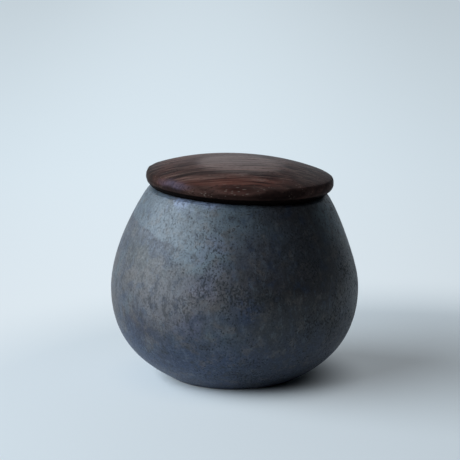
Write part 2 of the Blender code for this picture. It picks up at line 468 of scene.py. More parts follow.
        # Wear, which presses in where the noise is high
        rubbing = {"From Min": self.rubbed_from, "From Max": self.rubbed_to, "To Max": given["Wear Depth"]}
        rubbed = add_node(tree, "ShaderNodeMapRange", SMOOTH, {"Value": drift, **rubbing})
        wearing = {0: rubbed, 1: marks["wear"], 2: ridge}
        return add_node(tree, "ShaderNodeMath", {"operation": "MULTIPLY_ADD"}, wearing)

    def turn(
        self,
        name: str,
        outline: Outline,
        marks: TurningMarks,
        finish: bpy.types.Material,
        second_finish: bpy.types.Material | None = None,
        closed: bool = False,
    ) -> bpy.types.Object:
        """Turn an outline into a plain mesh object at the origin.

        Args:
            name: the piece's name.
            outline: its section.
            marks: the ridges and wear on it.
            finish: its material.
            second_finish: the material of the stretches marked for it.
            closed: whether the section is a ring's.

        Returns:
            The piece, with no modifier left on it.
        """
        tree = bpy.data.node_groups.get(self.tree_name) or self.tree()
        blank = bpy.data.objects.new(name + "_outline", outline.mesh(name + "_outline", closed))
        bpy.context.scene.collection.objects.link(blank)
        modifier = blank.modifiers.new("Lathe", "NODES")
        modifier.node_group = tree
        values = {
            "Steps Around": self.steps,
            "Ridge Spacing": marks.ridge_spacing,
            "Ridge Depth": marks.ridge_depth,
            "Ridge Wander": marks.ridge_wander,
            "Wear Depth": marks.wear_depth,
            "Wear Size": marks.wear_size,
            "Seed": marks.seed,
            "Merge Distance": self.merge_distance,
            "Finish": finish,
            "Second Finish": second_finish or finish,
        }
        for item in tree.interface.items_tree:
            if item.in_out == "INPUT" and item.name in values:
                modifier[item.identifier] = values[item.name]
        bpy.context.view_layer.update()
        solid = blank.evaluated_get(bpy.context.evaluated_depsgraph_get())
        mesh = bpy.data.meshes.new_from_object(solid)
        blank.modifiers.remove(modifier)
        outline_mesh = blank.data
        bpy.data.objects.remove(blank, do_unlink=True)
        bpy.data.meshes.remove(outline_mesh)
        mesh.name = name
        mesh.set_sharp_from_angle(angle=math.radians(self.sharp_angle_deg))
        piece = bpy.data.objects.new(name, mesh)
        bpy.context.scene.collection.objects.link(piece)
        return piece


@dataclass(frozen=True)
class Unevenness:
    """Cloudy unevenness of one size, as fired glaze, clay and wood have it.

    A stretch under 1 draws it out along that axis. A shift moves it aside, so
    that it doesn't line up with another.
    """

    name: str
    size_mm: float
    detail: float = 2.0
    roughness: float = 0.5
    distortion: float = 0.0
    stretch: tuple[float, float, float] = (1.0, 1.0, 1.0)
    shift: tuple[float, float, float] = (0.0, 0.0, 0.0)

    def lay(self, tree: bpy.types.NodeTree, place: Source) -> bpy.types.Node:
        """Lay the pattern in a material.

        Args:
            tree: the material's nodes.
            place: the coordinates that it follows.

        Returns:
            The node that gives the pattern.
        """
        moved = add_node(tree, "ShaderNodeVectorMath", {"operation": "ADD"}, {0: place, 1: self.shift})
        drawn = add_node(tree, "ShaderNodeVectorMath", {"operation": "MULTIPLY"}, {0: moved, 1: self.stretch})
        return add_node(
            tree,
            "ShaderNodeTexNoise",
            None,
            {
                "Vector": drawn,
                "Scale": 1 / (self.size_mm * MM),
                "Detail": self.detail,
                "Roughness": self.roughness,
                "Distortion": self.distortion,
            },
        )


@dataclass(frozen=True)
class Ramp:
    """A change from one value to another, while a pattern runs from start to end."""

    pattern: str
    start: float
    end: float
    at_end: float = 1.0
    at_start: float = 0.0

    def inputs(self, patterns: Patterns) -> dict[str, Any]:
        """The ramp as inputs of a Map Range node.

        Args:
            patterns: patterns by name, with its own among them.

        Returns:
            What goes into each socket.
        """
        return {
            "Value": patterns[self.pattern],
            "From Min": self.start,
            "From Max": self.end,
            "To Min": self.at_start,
            "To Max": self.at_end,
        }


@dataclass(frozen=True)
class Patch:
    """An egg-shaped space with a soft edge, and how much shows in its core."""

    middle_mm: tuple[float, float, float]
    reach_mm: tuple[float, float, float]
    share: float
    core: float = 0.25

    def mask(self, tree: bpy.types.NodeTree, drifted: Source) -> bpy.types.Node:
        """How much shows, from the share in the core to nothing.

        Args:
            tree: the material's nodes.
            drifted: coordinates that wander, so that the edge does.

        Returns:
            The node that gives the amount.
        """
        scale = tuple(1 / (reach * MM) for reach in self.reach_mm)
        shift = tuple(-middle / reach for middle, reach in zip(self.middle_mm, self.reach_mm))
        centring = {0: drifted, 1: scale, 2: shift}
        apart = add_node(tree, "ShaderNodeVectorMath", {"operation": "MULTIPLY_ADD"}, centring)
        away = add_node(tree, "ShaderNodeVectorMath", {"operation": "LENGTH"}, {0: apart})
        levels = {"From Min": self.core, "From Max": 1.0, "To Min": self.share, "To Max": 0.0}
        return add_node(tree, "ShaderNodeMapRange", SMOOTH, {"Value": away.outputs["Value"], **levels})


@dataclass(frozen=True)
class Skin:
    """How the grain and the pits of a surface scatter light and stand out."""

    roughness: Ramp
    pits: str
    pit_roughness: float
    relief: float
    relief_mm: float = 0.12

    def dress(self, tree: bpy.types.NodeTree, shader: bpy.types.Node, patterns: Patterns) -> None:
        """Set the roughness and the relief of a material.

        Args:
            tree: the material's nodes.
            shader: its main shader.
            patterns: its patterns by name.
        """
        grain = patterns[self.roughness.pattern]
        pits = patterns[self.pits]
        rough = add_node(tree, "ShaderNodeMapRange", None, self.roughness.inputs(patterns))
        pitting = {0: pits, 1: self.pit_roughness, 2: rough}
        pitted = add_node(tree, "ShaderNodeMath", {"operation": "MULTIPLY_ADD"}, pitting)
        height = add_node(tree, "ShaderNodeMath", {"operation": "SUBTRACT"}, {0: grain, 1: pits})
        standing = {"Strength": self.relief, "Distance": self.relief_mm * MM, "Height": height}
        relief = add_node(tree, "ShaderNodeBump", None, standing)
        feed(tree, shader, {"Roughness": pitted, "Normal": relief})


# A tone, and the ramp, the patch or the name of the pattern that says where it shows
Layer: TypeAlias = tuple[str | Source, Ramp | Patch | str]


def start_material(name: str) -> tuple[bpy.types.Material, bpy.types.Node, bpy.types.NodeSocket]:
    """Start a node material.

    Args:
        name: what the real material is and how its surface was made.

    Returns:
        The material, its main shader and its Object coordinates.
    """
    material = bpy.data.materials.new(name)
    material.use_nodes = True
    tree = material.node_tree
    return material, tree.nodes["Principled BSDF"], add_node(tree, "ShaderNodeTexCoord").outputs["Object"]


def drift(
    tree: bpy.types.NodeTree, place: Source, pattern: bpy.types.Node, reach_mm: tuple[float, float, float]
) -> bpy.types.Node:
    """Let coordinates wander with a pattern, half of its reach either way.

    Args:
        tree: the material's nodes.
        place: Object coordinates.
        pattern: the unevenness that leads them.
        reach_mm: how far they wander in all along each axis.

    Returns:
        The node that gives the drifted coordinates.
    """
    reach = tuple(length * MM for length in reach_mm)
    leading = {0: pattern.outputs["Color"], 1: reach, 2: place}
    led = add_node(tree, "ShaderNodeVectorMath", {"operation": "MULTIPLY_ADD"}, leading)
    half = tuple(length / 2 for length in reach)
    return add_node(tree, "ShaderNodeVectorMath", {"operation": "SUBTRACT"}, {0: led, 1: half})


def spots(
    tree: bpy.types.NodeTree, cells: bpy.types.Node, radius: bpy.types.Node, core: float, share: float
) -> bpy.types.Node:
    """Round spots with a soft edge, one in each cell.

    Args:
        tree: the material's nodes.
        cells: the cells.
        radius: radius of each spot.
        core: share of the radius inside which the spot is full.
        share: how much shows there.

    Returns:
        The node that gives the amount.
    """
    inner = add_node(tree, "ShaderNodeMath", {"operation": "MULTIPLY"}, {0: radius, 1: core})
    levels = {"From Min": inner, "From Max": radius, "To Min": share, "To Max": 0.0}
    return add_node(tree, "ShaderNodeMapRange", SMOOTH, {"Value": cells.outputs["Distance"], **levels})


def lay_tones(
    tree: bpy.types.NodeTree, ground: str, layers: tuple[Layer, ...], patterns: Patterns
) -> bpy.types.NodeSocket:
    """Lay tones over a ground colour, one after another.

    Args:
        tree: the material's nodes.
        ground: the hex value of the colour under them.
        layers: each tone with the ramp, the patch or the pattern that says
            how much of it shows.
        patterns: the material's patterns by name, and the "drifted"
            coordinates in which its patches lie.

    Returns:
        The colour.
    """
    colour = linear(ground)
    for tone, where in layers:
        if isinstance(where, Ramp):
            amount = add_node(tree, "ShaderNodeMapRange", SMOOTH, where.inputs(patterns))
        elif isinstance(where, Patch):
            amount = where.mask(tree, patterns["drifted"])
        else:
            amount = patterns[where]
        over = linear(tone) if isinstance(tone, str) else tone
        colour = add_node(tree, "ShaderNodeMix", COLOURS, {0: amount, 6: colour, 7: over}).outputs[2]
    return colour


@dataclass(frozen=True)
class IronGlaze:
    """Satin-matt iron glaze on stoneware, dipped twice and fired in reduction.

    The eye sees a dark, cool, mottled skin: grey-green where the second dip
    lies over the first, slate and navy where the glaze is thick, taupe and
    rust where it is thin, with iron specks that have burst through as small
    dull pits, and a soft sheen that follows the form.
    """

    name: str = "iron_glazed_stoneware"
    slate: str = "#393e48"
    taupe: str = "#44403e"
    teal: str = "#424f55"
    navy: str = "#202b3e"
    ochre: str = "#4d4641"
    charcoal: str = "#17181b"
    rust: str = "#4a3527"
    speck: str = "#0b0c0f"
    dipped: str = "#46535c"
    pale: str = "#5c666e"
    sheen: str = "#ebf3fa"
    ior: float = 1.5
    shine: float = 0.38
    dip_shine: float = 0.17
    mottle_shine: float = 0.3
    skin: Skin = Skin(Ramp("grain", 0.3, 0.7, 0.56, 0.42), "specks", pit_roughness=0.35, relief=0.35)
    unevenness: tuple[Unevenness, ...] = (
        Unevenness("grain", 0.9, 2.0, 0.6),
        Unevenness("clouds", 34.0, 3.0, distortion=0.6),
        Unevenness("patches", 15.0, 4.0, 0.62, shift=ASIDE),
        Unevenness("mottle", 6.0, 3.0, 0.7, shift=ASIDE),
        Unevenness("blots", 2.4, 2.0, 0.6, stretch=(1.0, 1.0, 0.5), shift=ASIDE),
        Unevenness("streaks", 1.6, stretch=(1.0, 1.0, 0.18)),
        Unevenness("crowd", 14.0),
        Unevenness("pepper", 0.85, 1.0, 0.4, stretch=(1.0, 1.0, 0.8)),
    )
    drift_mm: tuple[float, float, float] = (22.0, 22.0, 22.0)
    dip_height: float = 66.2 * MM
    dip_tilt: tuple[float, float, float] = (0.19, -0.104, 1.0)
    dip_wobble: float = 0.2
    dip_edge: Ramp = Ramp("across", -24 * MM, -6 * MM, 10 * MM, 0.6 * MM)
    # Partly painted light: the real second dip fades out to the right, so its lighter tone shows on the lit
    # left
    dip_fading: Ramp = Ramp("across", -4 * MM, 30 * MM, 0.15, 0.85)
    crowding: float = 0.6
    peppered: Ramp = Ramp("crowded", 0.90, 0.99, 0.75)
    large_speck_mm: float = 2.0
    large_speck_stretch: tuple[float, float, float] = (1.0, 1.0, 0.8)
    large_speck_radius: Ramp = Ramp("chance", 0.16, 0.46, 0.21)
    large_speck_core: float = 0.55
    large_speck_share: float = 0.8
    sinking: Ramp = Ramp("across", -38 * MM, -4 * MM, 1.0, 0.35)
    # Tones of the glaze, with painted shade and painted light among them as marked
    pools_and_painted_light: tuple[Layer, ...] = (
        # Painted shade: the whole right side, away from the lamp, made much darker
        ("#221b1c", Patch((38, -42, 56), (44, 34, 46), 0.86, 0.4)),
        ("#504b47", Patch((-38, -34, 52), (22, 24, 14), 0.7, 0.4)),
        ("#2c302f", Patch((-40, -28, 60), (16, 16, 8), 0.68)),
        ("#45423f", Patch((-16, -50, 56), (16, 14, 16), 0.6, 0.3)),
        # Painted highlight: lighter lower left front, where the lamp's sheen reaches
        ("#605e61", Patch((-30, -46, 41), (26, 24, 14), 0.7, 0.35)),
        ("#3c3f56", Patch((-20, -50, 34), (13, 12, 9), 0.5)),
        ("#57504c", Patch((-13, -51, 46), (12, 14, 10), 0.65)),
        ("#12233f", Patch((5, -53, 41), (10, 14, 13), 0.85)),
        ("#1c2940", Patch((2, -48, 62), (11, 12, 8), 0.6)),
        # Painted shade: darker right of the front, towards the shaded side
        ("#151312", Patch((19, -49, 47), (14, 14, 12), 0.85)),
        ("#272735", Patch((-43, -34, 30), (16, 16, 11), 0.75)),
        # Painted shade: this and the next darken the lower right, on the shaded side
        ("#14161c", Patch((26, -46, 30), (34, 30, 20), 0.85, 0.4)),
        ("#191516", Patch((30, -44, 41), (22, 16, 12), 0.8)),
        # Darker and bluer towards the bottom, all round
        ("#14294a", Patch((0, 0, 2), (170, 170, 34), 0.9, 0.4)),
        # Painted shade: darkest navy low on the shaded right
        ("#0a1a30", Patch((24, -40, 8), (36, 34, 20), 0.85, 0.4)),
        ("#434042", Patch((-20, 48, 60), (30, 24, 20), 0.7)),
        ("#232c3a", Patch((30, 44, 38), (26, 26, 20), 0.7)),
        ("#352f2e", Patch((50, 14, 58), (18, 24, 20), 0.6)),
        ("#423a36", Patch((-8, 54, 30), (18, 14, 12), 0.6)),
    )
    # Late tones, with painted shade and painted light among them as marked
    late_pools_and_painted_light: tuple[Layer, ...] = (
        # Painted shade: the lid's shadow on the right of the shoulder
        ("#2c2829", Patch((30, -40, 80), (34, 30, 9), 0.75)),
        ("#53646e", Patch((-14, -46, 65), (22, 20, 9), 0.6)),
        ("#363339", Patch((8, -48, 62), (18, 16, 18), 0.65, 0.3)),
        ("#5c5c6e", Patch((-14, -50, 50), (12, 12, 9), 0.5)),
        ("#626678", Patch((-9, -49, 56), (10, 10, 7), 0.4)),
        ("#565b70", Patch((-9, -47, 69), (13, 12, 7), 0.55)),
        # Painted reflection: lighter teal rim on the right shoulder under the lid
        ("#5c707a", Patch((40, -12, 74), (14, 20, 22), 0.85)),
        # Painted light: pale blue on the shoulder under the lid's left rim, where its shadow falls
        ("#76829d", Patch((-20, -33, 86), (26, 18, 6), 0.7, 0.4)),
    )
    gatherings: tuple[Patch, ...] = (
        Patch((-10, -46, 58), (13, 12, 10), 0.14),
        Patch((3, -52, 45), (11, 12, 11), 0.16),
        Patch((26, -44, 60), (14, 12, 8), 0.10),
        Patch((-14, -52, 28), (12, 12, 9), 0.08),
    )

    def layers(self) -> tuple[Layer, ...]:
        """The glaze's tones in the order in which they are laid.

        Returns:
            Each tone, and where it shows.
        """
        return (
            (self.taupe, Ramp("clouds", 0.48, 0.62, 0.75)),
            (self.teal, Ramp("patches", 0.52, 0.66, 0.70)),
            (self.navy, Ramp("patches", 0.47, 0.34, 0.65)),
            *self.pools_and_painted_light,
            (self.dipped, "second_dip"),
            *self.late_pools_and_painted_light,
            (self.ochre, Ramp("mottle", 0.53, 0.66, 0.45)),
            (self.navy, Ramp("mottle", 0.47, 0.34, 0.55)),
            (self.charcoal, Ramp("blots", 0.52, 0.70, 0.65)),
            (self.pale, Ramp("blots", 0.46, 0.32, 0.22)),
            (self.charcoal, Ramp("streaks", 0.52, 0.74, 0.35)),
            (self.charcoal, Ramp("grain", 0.50, 0.70, 0.60)),
            (self.pale, Ramp("grain", 0.46, 0.30, 0.16)),
            (self.rust, "thin"),
            (self.speck, "specks"),
        )

    def build(self) -> bpy.types.Material:
        """Build the glaze.

        Returns:
            The material.
        """
        material, shader, place = start_material(self.name)
        tree = material.node_tree
        patterns = {uneven.name: uneven.lay(tree, place) for uneven in self.unevenness}
        drifted = drift(tree, place, patterns["patches"], self.drift_mm)
        patterns["drifted"] = drifted
        patterns["across"] = add_node(tree, "ShaderNodeSeparateXYZ", None, {0: drifted}).outputs["X"]
        tinge = add_node(tree, "ShaderNodeAttribute", {"attribute_name": "tinge"})
        patterns["thin"] = tinge.outputs["Fac"]
        patterns["second_dip"] = self.second_dip(tree, place, patterns)
        patterns["specks"] = self.specks(tree, place, patterns)
        colour = lay_tones(tree, self.slate, self.layers(), patterns)
        self.skin.dress(tree, shader, patterns)

        shining = {0: patterns["second_dip"], 1: self.dip_shine, 2: self.shine}
        shine = add_node(tree, "ShaderNodeMath", {"operation": "MULTIPLY_ADD"}, shining)
        varying = {0: patterns["mottle"], 1: self.mottle_shine, 2: shine}
        uneven_shine = add_node(tree, "ShaderNodeMath", {"operation": "MULTIPLY_ADD"}, varying)
        sheen = {"Specular Tint": linear(self.sheen), "Specular IOR Level": uneven_shine}
        feed(tree, shader, {"Base Color": colour, "IOR": self.ior, **sheen})
        return material

    def second_dip(
        self, tree: bpy.types.NodeTree, place: bpy.types.NodeSocket, patterns: Patterns
    ) -> bpy.types.Node:
        """Where the second dip lies: above a tilted line, crisp on the left.

        Args:
            tree: the material's nodes.
            place: Object coordinates.
            patterns: the glaze's patterns by name.

        Returns:
            The node that gives the amount.
        """
        moving = {0: patterns["drifted"], 1: place}
        moved = add_node(tree, "ShaderNodeVectorMath", {"operation": "SUBTRACT"}, moving)
        wobbling = {0: moved, "Scale": self.dip_wobble}
        wobble = add_node(tree, "ShaderNodeVectorMath", {"operation": "SCALE"}, wobbling)
        line = add_node(tree, "ShaderNodeVectorMath", {"operation": "ADD"}, {0: place, 1: wobble})
        tilting = {0: line, 1: self.dip_tilt}
        level = add_node(tree, "ShaderNodeVectorMath", {"operation": "DOT_PRODUCT"}, tilting)
        soft = add_node(tree, "ShaderNodeMapRange", SMOOTH, self.dip_edge.inputs(patterns))
        low = add_node(tree, "ShaderNodeMath", {"operation": "SUBTRACT"}, {0: self.dip_height, 1: soft})
        high = add_node(tree, "ShaderNodeMath", {"operation": "ADD"}, {0: self.dip_height, 1: soft})
        rising = {"Value": level.outputs["Value"], "From Min": low, "From Max": high}
        above = add_node(tree, "ShaderNodeMapRange", SMOOTH, rising)
        # Fading to the right paints light: the lighter dip shows mostly on the lit left
        fading = add_node(tree, "ShaderNodeMapRange", SMOOTH, self.dip_fading.inputs(patterns))
        return add_node(tree, "ShaderNodeMath", {"operation": "MULTIPLY"}, {0: above, 1: fading})

    def specks(
        self, tree: bpy.types.NodeTree, place: bpy.types.NodeSocket, patterns: Patterns
    ) -> bpy.types.Node:
        """Iron specks, a little drawn out downwards, of two sizes.

        Args:
            tree: the material's nodes.
            place: Object coordinates.
            patterns: the glaze's patterns by name.

        Returns:
            The node that gives 1 on a speck.
        """
        crowd = patterns["crowd"]
        for gathering in self.gatherings:
            more = gathering.mask(tree, patterns["drifted"])
            crowd = add_node(tree, "ShaderNodeMath", {"operation": "ADD"}, {0: crowd, 1: more})
        crowding = {0: crowd, 1: self.crowding, 2: patterns["pepper"]}
        crowded = add_node(tree, "ShaderNodeMath", {"operation": "MULTIPLY_ADD"}, crowding)
        peppering = self.peppered.inputs({"crowded": crowded})
        pepper = add_node(tree, "ShaderNodeMapRange", SMOOTH, peppering)

        drawing = {"Vector": place, "Scale": self.large_speck_stretch}
        drawn = add_node(tree, "ShaderNodeMapping", None, drawing)
        spacing = {"Vector": drawn, "Scale": 1 / (self.large_speck_mm * MM)}
        cells = add_node(tree, "ShaderNodeTexVoronoi", None, spacing)
        draw = add_node(tree, "ShaderNodeSeparateColor", None, {0: cells.outputs["Color"]})
        chance = add_node(tree, "ShaderNodeMath", {"operation": "MULTIPLY"}, {0: draw, 1: crowd})
        sizing = self.large_speck_radius.inputs({"chance": chance})
        radius = add_node(tree, "ShaderNodeMapRange", None, sizing)
        large = spots(tree, cells, radius, self.large_speck_core, self.large_speck_share)

        both = add_node(tree, "ShaderNodeMath", {"operation": "MAXIMUM"}, {0: pepper, 1: large})
        sunk = add_node(tree, "ShaderNodeMapRange", SMOOTH, self.sinking.inputs(patterns))
        return add_node(tree, "ShaderNodeMath", {"operation": "MULTIPLY"}, {0: both, 1: sunk})


@dataclass(frozen=True)
class BareClay:
    """Unglazed stoneware of the foot, wiped clean before firing.

    The eye sees a dry, rough, toasted brown body with sandy grit.
    """

    name: str = "bare_fired_stoneware"
    body: str = "#5e4a3c"
    grit: str = "#2d2420"
    roughness: float = 0.9
    grains: Unevenness = Unevenness("grit", 0.9, 4.0, 0.7)
    gritty: Ramp = Ramp("grit", 0.5, 0.72)
    relief: float = 0.6
    relief_mm: float = 0.2

    def build(self) -> bpy.types.Material:
        """Build the clay.

        Returns:
            The material.
        """
        material, shader, place = start_material(self.name)
        tree = material.node_tree
        grains = self.grains.lay(tree, place)
        amount = add_node(tree, "ShaderNodeMapRange", None, self.gritty.inputs({"grit": grains}))
        colour = lay_tones(tree, self.body, ((self.grit, "gritty"),), {"gritty": amount})
        standing = {"Strength": self.relief, "Distance": self.relief_mm * MM, "Height": grains}
        relief = add_node(tree, "ShaderNodeBump", None, standing)
        feed(tree, shader, {"Base Color": colour, "Roughness": self.roughness, "Normal": relief})
        return material


@dataclass(frozen=True)
class Walnut:
    """Dark walnut, turned side grain.

    The eye sees broad soft arcs where the dome cuts the growth rings, fine
    fibre lines, and open pores as short strokes along the grain. The pores
    are drawn about twice their real width, so that they show. Streaks and
    fibres calm down towards the rim, where the dome meets the edge band.
    """

    cut: Cut
    oiled_skin: Skin = Skin(Ramp("fibre", 0.3, 0.7, 0.48, 0.32), "pores", pit_roughness=0.3, relief=0.4)
    bare_skin: Skin = Skin(Ramp("fibre", 0.3, 0.7, 0.75, 0.55), "pores", pit_roughness=0.3, relief=0.4)
    early: str = "#503a34"
    late: str = "#170f0e"
    red: str = "#4e2b24"
    streak: str = "#7d6259"
    pore: str = "#120b0a"
    dust: str = "#8b7c72"
    # Painted shade: near black on the bevel and low on the band, under the lid's overhang
    painted_undercut_shade: str = "#0a0706"
    specular: float = 0.005
    bloom: str = "#c4b7b6"
    blooming: Ramp = Ramp("way_out", 10 * MM, 32 * MM, 0.10, 0.21)
    sway: Unevenness = Unevenness("sway", 45.0, 1.5)
    sway_mm: tuple[float, float, float] = (0.0, 9.0, 4.0)
    figure_shift_mm: float = 2.5
    figure_turn_deg: tuple[float, float, float] = (0.0, 4.0, -5.0)
    along_grain: tuple[Unevenness, ...] = (
        Unevenness("fibre", 0.7, 3.0, 0.65, stretch=(0.7 / 26, 1.0, 0.4)),
        Unevenness("streaks", 1.5, 2.0, 0.55, stretch=(1.5 / 48, 1.0, 0.3)),
    )
    clouds: tuple[Unevenness, ...] = (Unevenness("warm", 22.0), Unevenness("dusty", 5.0, 3.0))
    drift_mm: tuple[float, float, float] = (6.0, 6.0, 3.0)
    ring_spacing_mm: float = 3.4
    ring_turn: float = 0.75
    pith_mm: tuple[float, float, float] = (0.0, 14.0, 38.0)
    pore_width_mm: float = 0.6
    pore_length_mm: float = 4.0
    pore_radius: Ramp = Ramp("rings", 0.0, 0.8, 0.2, 0.34)
    pore_core: float = 0.5
    rim: Ramp = Ramp("way_out", 34 * MM, 40 * MM, 0.7)
    calm_level: float = 0.5
    rim_dust: float = 0.1
    filling: Ramp = Ramp("settled", 0.56, 0.70, 0.7)
    settling: Patch = Patch((-2, -40, 89.5), (24, 8, 4), 0.1)
    # Tones of the wood, with painted sheen and painted shade among them as marked
    zones_and_painted_light: tuple[Layer, ...] = (
        ("#17130f", Patch((-42, -6, 91), (14, 38, 12), 0.85, 0.4)),
        # Painted sheen: a pale grey middle of the dome for the reflection of the bright room behind
        ("#94827c", Patch((3, -9, 97), (22.5, 20.5, 8), 0.5, 0.68)),
        # Painted reflection: violet-grey of the lamp low on the left of the dome
        ("#4c4656", Patch((-28, -30, 91), (14, 12, 3.2), 0.6)),
        ("#704236", Patch((4, -33, 93.0), (34, 9, 2.8), 0.7)),
        ("#6b5d58", Patch((33, -17, 92.4), (13, 16, 4.5), 0.45)),
        ("#22120f", Patch((0, -39, 91.5), (14, 4, 2.2), 0.65)),
        # Painted shade: this and the next two darken the band low down, over the gap under the lid
        ("#1c100d", Patch((8, -42, 86.6), (60, 10, 3.2), 0.45, 0.45)),
        ("#0e0706", Patch((24, -38, 87.8), (22, 12, 2.7), 0.75, 0.5)),
        ("#171110", Patch((-31, -28, 88.4), (13, 12, 2.6), 0.7, 0.5)),
    )

    @property
    def oiled(self) -> bool:
        """Whether the cut is the lid's oiled outside."""
        return self.cut is Cut.OILED

    def layers(self, in_pore: bpy.types.NodeSocket) -> tuple[Layer, ...]:
        """The wood's tones in the order in which they are laid.

        Args:
            in_pore: the colour in the pores.

        Returns:
            Each tone, and where it shows.
        """
        return (
            (self.late, Ramp("calm_rings", 0.15, 0.95, 0.85)),
            (self.red, Ramp("warm", 0.46, 0.66, 0.45)),
            *(self.zones_and_painted_light if self.oiled else ()),
            (self.streak, Ramp("calm_streaks", 0.53, 0.66, 0.70)),
            (self.late, Ramp("calm_streaks", 0.48, 0.35, 0.85)),
            (self.late, Ramp("fibre", 0.48, 0.70, 0.60)),
            (self.dust if self.oiled else self.red, Ramp("calm_fibre", 0.46, 0.30, 0.35)),
            (in_pore, "pores"),
            # Painted shade under the lid's overhang, where the tinge is high
            (self.painted_undercut_shade, "undercut_shade"),
        )

    def build(self) -> bpy.types.Material:
        """Build the wood.

        Returns:
            The material.
        """
        material, shader, place = start_material(self.cut.value + "_walnut")
        tree = material.node_tree
        swayed = self.swayed(tree, place)
        patterns = {uneven.name: uneven.lay(tree, swayed) for uneven in self.along_grain}
        patterns |= {uneven.name: uneven.lay(tree, place) for uneven in self.clouds}
        patterns["drifted"] = drift(tree, place, patterns["dusty"], self.drift_mm)
        patterns["rings"] = self.rings(tree, swayed)
        patterns["pores"] = self.pores(tree, swayed, patterns["rings"])
        # On the lid the tinge marks where shade under its overhang is painted on the wood
        tinge = add_node(tree, "ShaderNodeAttribute", {"attribute_name": "tinge"})
        patterns["undercut_shade"] = tinge.outputs["Fac"]
        flattening = {0: place, 1: (1.0, 1.0, 0.0)}
        flat = add_node(tree, "ShaderNodeVectorMath", {"operation": "MULTIPLY"}, flattening)
        way_out = add_node(tree, "ShaderNodeVectorMath", {"operation": "LENGTH"}, {0: flat})
        patterns["way_out"] = way_out.outputs["Value"]
        self.calm_rim(tree, patterns)
        colour = lay_tones(tree, self.early, self.layers(self.in_pore(tree, patterns)), patterns)
        skin = self.oiled_skin if self.oiled else self.bare_skin
        skin.dress(tree, shader, patterns)

        bloom = add_node(tree, "ShaderNodeMapRange", SMOOTH, self.blooming.inputs(patterns))
        drying = {"Value": patterns["undercut_shade"], "To Min": bloom, "To Max": 0.0}
        dry = add_node(tree, "ShaderNodeMapRange", None, drying)
        sheen = {"Sheen Tint": linear(self.bloom), "Sheen Weight": dry}
        feed(tree, shader, {"Base Color": colour, "Specular IOR Level": self.specular, **sheen})
        return material

    def swayed(self, tree: bpy.types.NodeTree, place: bpy.types.NodeSocket) -> bpy.types.Node:
        """Coordinates with the grain's own sway in them.

        Args:
            tree: the material's nodes.
            place: Object coordinates.

        Returns:
            The node that gives them.
        """
        sway = self.sway.lay(tree, place).outputs["Color"]
        swaying = {0: sway, 1: tuple(length * MM for length in self.sway_mm), 2: place}
        offset = add_node(tree, "ShaderNodeVectorMath", {"operation": "MULTIPLY_ADD"}, swaying)
        turned = tuple(math.radians(angle) for angle in self.figure_turn_deg)
        setting = {"Vector": offset, "Location": (0.0, self.figure_shift_mm * MM, 0.0), "Rotation": turned}
        return add_node(tree, "ShaderNodeMapping", None, setting)

    def rings(self, tree: bpy.types.NodeTree, swayed: bpy.types.Node) -> bpy.types.Node:
        """Growth rings, from 0 in early wood to 1 in the late wood.

        Args:
            tree: the material's nodes.
            swayed: coordinates with the grain's own sway in them.

        Returns:
            The node that gives the rings.
        """
        pith = Vector(self.pith_mm) * MM
        centring = {0: swayed, 1: (0.0, 1.0, 1.0), 2: (0.0, -pith.y, -pith.z)}
        across = add_node(tree, "ShaderNodeVectorMath", {"operation": "MULTIPLY_ADD"}, centring)
        reach = add_node(tree, "ShaderNodeVectorMath", {"operation": "LENGTH"}, {0: across})
        counting = {0: reach.outputs["Value"], 1: self.ring_spacing_mm * MM}
        count = add_node(tree, "ShaderNodeMath", {"operation": "DIVIDE"}, counting)
        grown = add_node(tree, "ShaderNodeMath", {"operation": "FRACT"}, {0: count})
        rising = add_node(tree, "ShaderNodeMapRange", None, {"Value": grown, "From Max": self.ring_turn})
        ending = {"From Min": self.ring_turn, "From Max": 1.0, "To Min": 1.0, "To Max": 0.0}
        falling = add_node(tree, "ShaderNodeMapRange", None, {"Value": grown, **ending})
        return add_node(tree, "ShaderNodeMath", {"operation": "MINIMUM"}, {0: rising, 1: falling})

    def pores(
        self, tree: bpy.types.NodeTree, swayed: bpy.types.Node, rings: bpy.types.Node
    ) -> bpy.types.Node:
        """Open pores, crowded in the early wood.

        Args:
            tree: the material's nodes.
            swayed: coordinates with the grain's own sway in them.
            rings: the growth rings.

        Returns:
            The node that gives 1 in a pore.
        """
        drawing = {"Vector": swayed, "Scale": (self.pore_width_mm / self.pore_length_mm, 1.0, 1.0)}
        drawn = add_node(tree, "ShaderNodeMapping", None, drawing)
        spacing = {"Vector": drawn, "Scale": 1 / (self.pore_width_mm * MM)}
        cells = add_node(tree, "ShaderNodeTexVoronoi", None, spacing)
        radius = add_node(tree, "ShaderNodeMapRange", None, self.pore_radius.inputs({"rings": rings}))
        return spots(tree, cells, radius, self.pore_core, 1.0)

    def calm_rim(self, tree: bpy.types.NodeTree, patterns: Patterns) -> None:
        """Calm the figure near the rim, where dome and band meet.

        Args:
            tree: the material's nodes.
            patterns: the wood's patterns by name, which gain the rim and
                the calm ones.
        """
        rim = add_node(tree, "ShaderNodeMapRange", SMOOTH, self.rim.inputs(patterns))
        patterns["rim"] = rim
        for name in ("rings", "streaks", "fibre"):
            calming = {0: rim, 2: patterns[name], 3: self.calm_level}
            patterns["calm_" + name] = add_node(tree, "ShaderNodeMix", {"data_type": "FLOAT"}, calming)

    def in_pore(self, tree: bpy.types.NodeTree, patterns: Patterns) -> bpy.types.NodeSocket:
        """Colour in the pores, which are filled where dust has settled.

        Args:
            tree: the material's nodes.
            patterns: the wood's patterns by name.

        Returns:
            The colour.
        """
        gathering = {0: patterns["rim"], 1: self.rim_dust, 2: patterns["dusty"]}
        settled = add_node(tree, "ShaderNodeMath", {"operation": "MULTIPLY_ADD"}, gathering)
        if self.oiled:
            more = self.settling.mask(tree, patterns["drifted"])
            settled = add_node(tree, "ShaderNodeMath", {"operation": "ADD"}, {0: settled, 1: more})
        return lay_tones(tree, self.pore, ((self.dust, self.filling),), {"settled": settled})


